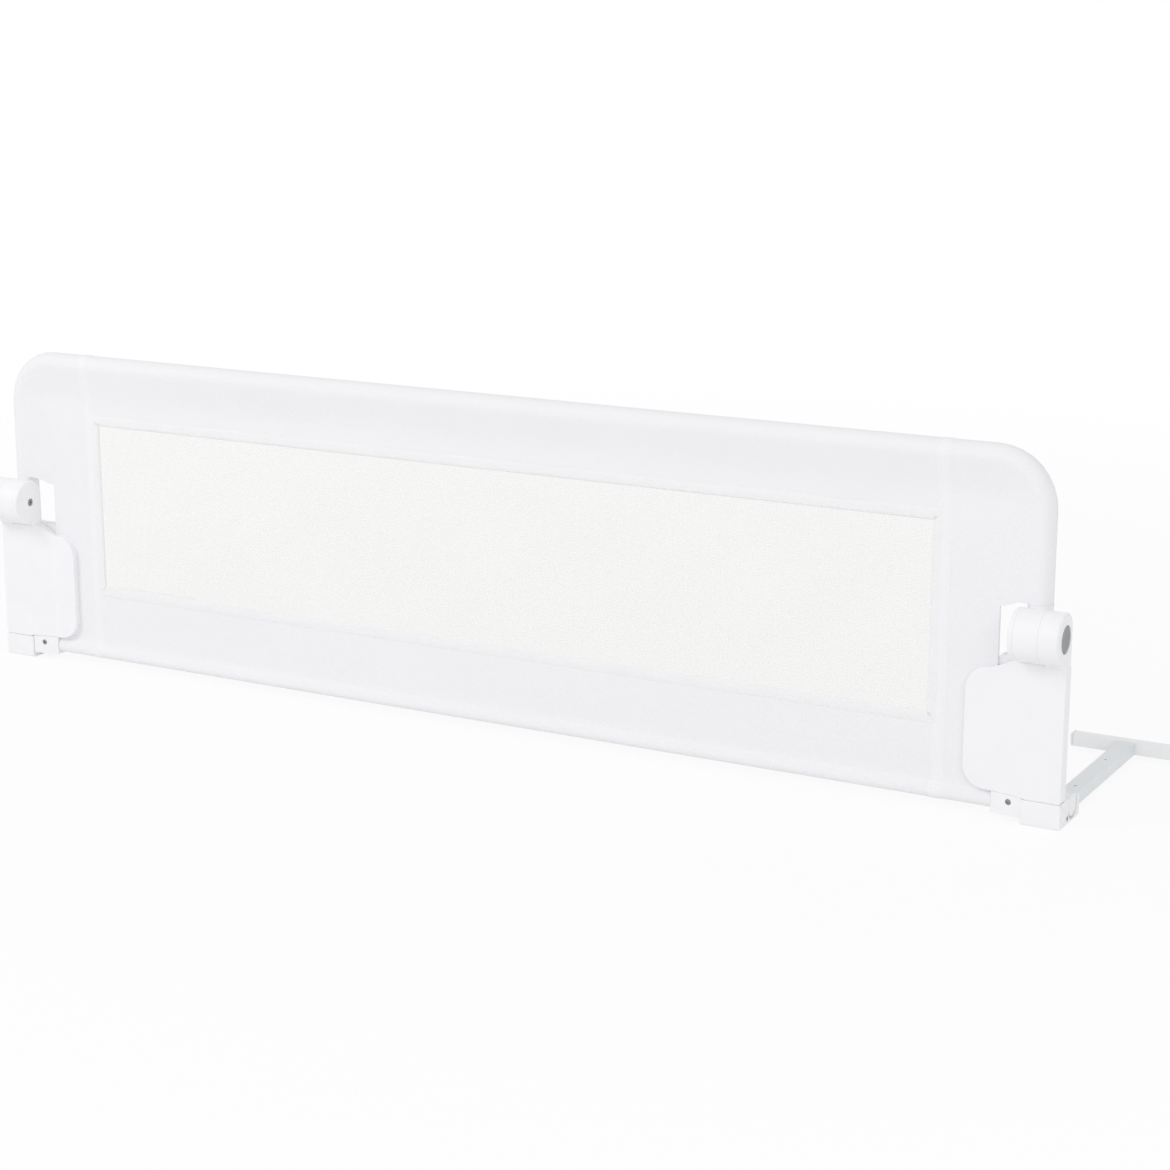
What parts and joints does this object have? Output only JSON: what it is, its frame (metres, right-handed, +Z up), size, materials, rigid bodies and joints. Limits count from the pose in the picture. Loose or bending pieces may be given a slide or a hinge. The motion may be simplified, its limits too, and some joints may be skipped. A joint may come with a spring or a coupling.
{
  "type": "folding bed guard rail",
  "caption": "Long fabric and mesh bed guard on a steel tube frame, with lockable fold-down end hinges and folding base arms that slide under a mattress.",
  "frame": {"origin": "centre of the whole rail's footprint, on the surface that it stands on", "axes": "+X along the rail to the right seen from the front, +Y towards the bed, under which the base arms reach, +Z up"},
  "size_m": [1.6042, 0.3427, 0.42],
  "materials": {
    "white_plastic": "moulded white ABS, fine satin texture",
    "grey_plastic": "moulded mid-grey plastic, satin",
    "white_steel": "white powder-coated steel tube",
    "grey_steel": "light blue-grey powder-coated steel tube",
    "zinc_steel": "zinc-plated steel",
    "white_cloth": "plain woven polyester, white, slightly cool",
    "white_binding": "white woven binding tape, stitched",
    "white_mesh": "fine open polyester mesh, warm white"
  },
  "bodies": {
    "lower_frame": {"right_housing_front": "white_plastic", "left_housing_front": "white_plastic", "right_housing_rear": "white_plastic", "left_housing_rear": "white_plastic", "right_housing_screw_low": "zinc_steel", "left_housing_screw_low": "zinc_steel", "right_housing_screw_high": "zinc_steel", "left_housing_screw_high": "zinc_steel", "right_lower_upright": "zinc_steel", "left_lower_upright": "zinc_steel", "right_hinge_pin": "zinc_steel", "left_hinge_pin": "zinc_steel", "right_button_spring": "zinc_steel", "left_button_spring": "zinc_steel", "bottom_rail": "white_steel", "right_rail_connector": "white_plastic", "left_rail_connector": "white_plastic", "right_connector_screw": "zinc_steel", "left_connector_screw": "zinc_steel", "right_cover_lower_end": "white_cloth", "left_cover_lower_end": "white_cloth", "cover_bottom_band": "white_cloth", "window_binding_lower": "white_binding", "window_mesh_lower": "white_mesh", "right_foot": "white_plastic", "left_foot": "white_plastic", "right_foot_screw": "zinc_steel", "left_foot_screw": "zinc_steel", "right_arm_pivot_pin": "zinc_steel", "left_arm_pivot_pin": "zinc_steel"},
    "upper_frame": {"right_knuckle": "white_plastic", "left_knuckle": "white_plastic", "right_knuckle_screw": "zinc_steel", "left_knuckle_screw": "zinc_steel", "right_top_tube": "white_steel", "left_top_tube": "white_steel", "right_top_joiner": "zinc_steel", "left_top_joiner": "zinc_steel", "top_tube_middle": "white_steel", "right_cover_upper_end": "white_cloth", "left_cover_upper_end": "white_cloth", "cover_top_band": "white_cloth", "window_binding_upper": "white_binding", "window_mesh_upper": "white_mesh"},
    "right_button": {"right_release_button": "grey_plastic", "right_lock_hub": "grey_plastic"},
    "left_button": {"left_release_button": "grey_plastic", "left_lock_hub": "grey_plastic"},
    "right_arm": {"right_arm_knuckle": "white_plastic", "right_base_arm": "grey_steel", "right_t_bar": "grey_steel", "right_t_bar_inner_cap": "grey_plastic", "right_t_bar_outer_cap": "grey_plastic", "right_t_bar_screw": "zinc_steel"},
    "left_arm": {"left_arm_knuckle": "white_plastic", "left_base_arm": "grey_steel", "left_t_bar": "grey_steel", "left_t_bar_inner_cap": "grey_plastic", "left_t_bar_outer_cap": "grey_plastic", "left_t_bar_screw": "zinc_steel"}
  },
  "joints": [
    {"name": "rail_fold", "type": "hinge", "parent": "lower_frame", "child": "upper_frame", "pos_m": [0, -0.14215, 0.2176], "axis": [1, 0, 0], "range_deg": [0, 180]},
    {"name": "right_button_press", "type": "slide", "parent": "lower_frame", "child": "right_button", "axis": [-1, 0, 0], "range_m": [0, 0.006], "stiffness_N_per_m": 700, "springref_m": -0.003, "deforming": ["right_button_spring"]},
    {"name": "left_button_press", "type": "slide", "parent": "lower_frame", "child": "left_button", "axis": [1, 0, 0], "range_m": [0, 0.006], "stiffness_N_per_m": 700, "springref_m": -0.003, "deforming": ["left_button_spring"]},
    {"name": "right_arm_fold", "type": "hinge", "parent": "lower_frame", "child": "right_arm", "pos_m": [0.7331, -0.09335, 0.017], "axis": [1, 0, 0], "range_deg": [0, 90]},
    {"name": "left_arm_fold", "type": "hinge", "parent": "lower_frame", "child": "left_arm", "pos_m": [-0.7331, -0.09335, 0.017], "axis": [1, 0, 0], "range_deg": [0, 90]}
  ]
}
